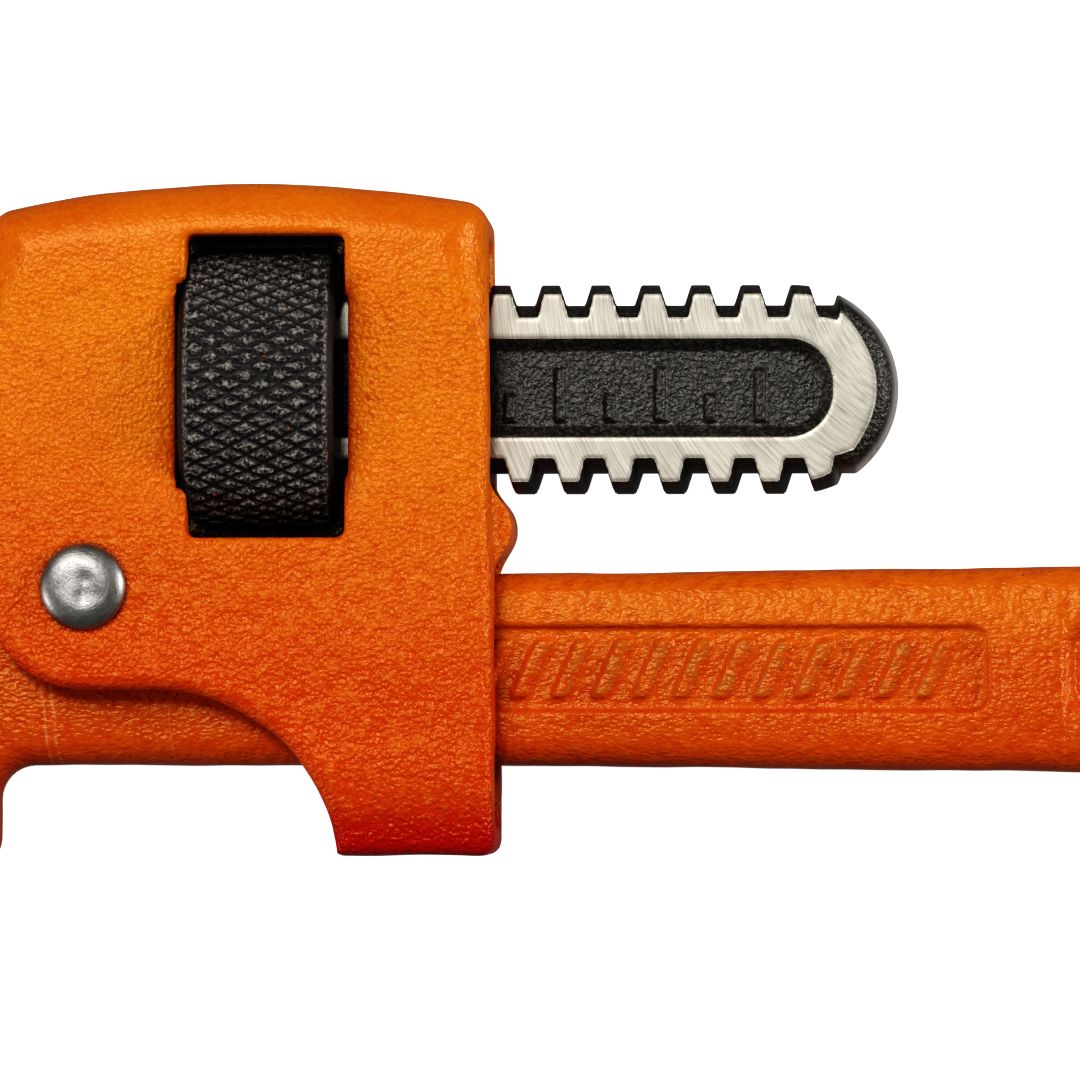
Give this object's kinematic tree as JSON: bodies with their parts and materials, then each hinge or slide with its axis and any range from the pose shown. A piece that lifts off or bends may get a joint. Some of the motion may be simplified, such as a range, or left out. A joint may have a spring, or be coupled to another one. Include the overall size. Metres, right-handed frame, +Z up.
{
  "type": "pipe wrench",
  "caption": "Stillson-pattern pipe wrench with a painted forged handle and housing, a threaded hook jaw and a knurled adjusting nut.",
  "frame": {"origin": "centre of the wrench's outline as it lies flat on its side, on the surface it lies on", "axes": "+X along the wrench from the jaws to the handle's end, +Z up out of the side that faces up, +Y away from the mouth"},
  "size_m": [0.301, 0.0704, 0.0285],
  "materials": {
    "handle_paint": "glossy enamel over a cast texture",
    "housing_paint": "glossy enamel over a cast texture",
    "jaw_steel": "ground faces, black scale elsewhere",
    "black_oxide": "black oxide, satin",
    "rivet_steel": "bare, peened",
    "spring_steel": "blued, satin"
  },
  "bodies": {
    "handle": {"handle": "handle_paint", "jaw_spring": "spring_steel", "jaw_spring_rivet": "rivet_steel", "handle_spring": "spring_steel", "handle_spring_rivet": "rivet_steel"},
    "housing": {"housing": "housing_paint", "pivot_rivet": "rivet_steel"},
    "nut": {"adjusting_nut": "black_oxide"},
    "jaw": {"hook_jaw": "jaw_steel"}
  },
  "joints": [
    {"name": "housing_pivot", "type": "hinge", "parent": "handle", "child": "housing", "pos_m": [-0.0907, -0.0052, 0.01425], "axis": [0, 0, 1], "range_deg": [0, 4.5], "stiffness_Nm_per_rad": 30, "springref_deg": -1.15, "deforming": ["jaw_spring", "handle_spring"]},
    {"name": "nut_turn", "type": "hinge", "parent": "housing", "child": "nut", "pos_m": [-0.07345, 0.0148, 0.01425], "axis": [1, 0, 0], "range_deg": [-684.01, 2736.01]},
    {"name": "jaw_slide", "type": "slide", "parent": "housing", "child": "jaw", "axis": [-1, 0, 0], "range_m": [-0.0095, 0.038]}
  ],
  "couplings": [
    {"joint": "nut_turn", "follows": "jaw_slide", "rad_per_m": 1256.6}
  ]
}
